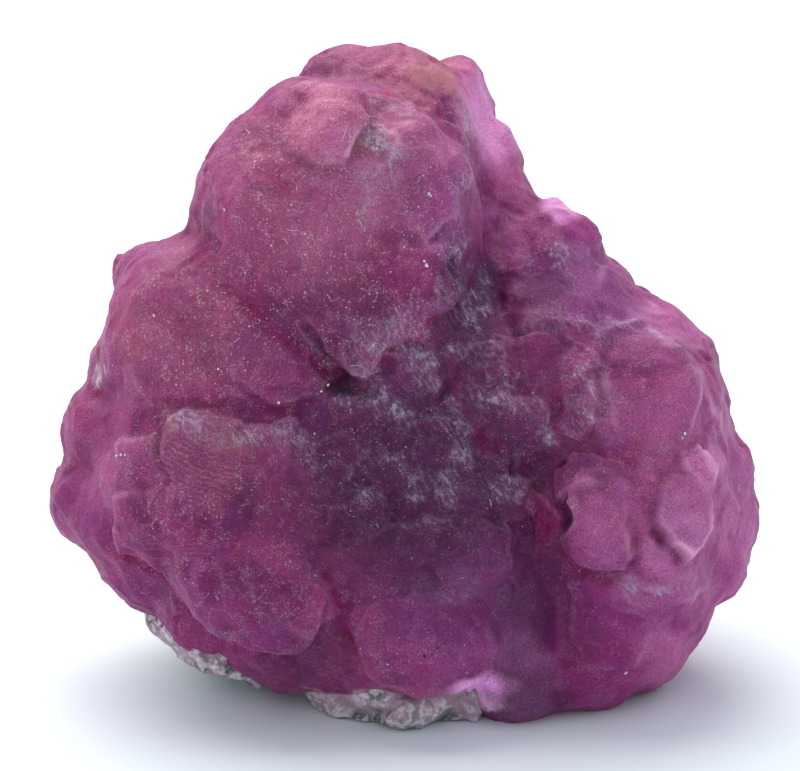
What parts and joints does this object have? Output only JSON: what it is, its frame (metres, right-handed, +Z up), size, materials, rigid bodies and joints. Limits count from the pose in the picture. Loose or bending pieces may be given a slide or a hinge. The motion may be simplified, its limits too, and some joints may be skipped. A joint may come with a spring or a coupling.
{
  "type": "mineral specimen",
  "caption": "Loose mineral specimen: a lobed magenta crystal crust grown on a piece of pale host rock, with a flat underside to rest on.",
  "frame": {"origin": "on the surface the specimen rests on, under the middle of its outline", "axes": "+Z up, -Y out of the crystal face, +X to the right seen from that face"},
  "size_m": [0.0325, 0.0232, 0.028],
  "materials": {
    "sphaerocobaltite": "waxy, slightly rough, translucent at thin edges",
    "matrix": "dull and rough, freshly broken"
  },
  "bodies": {
    "root": {"sphaerocobaltite": "sphaerocobaltite", "matrix": "matrix"}
  },
  "joints": []
}
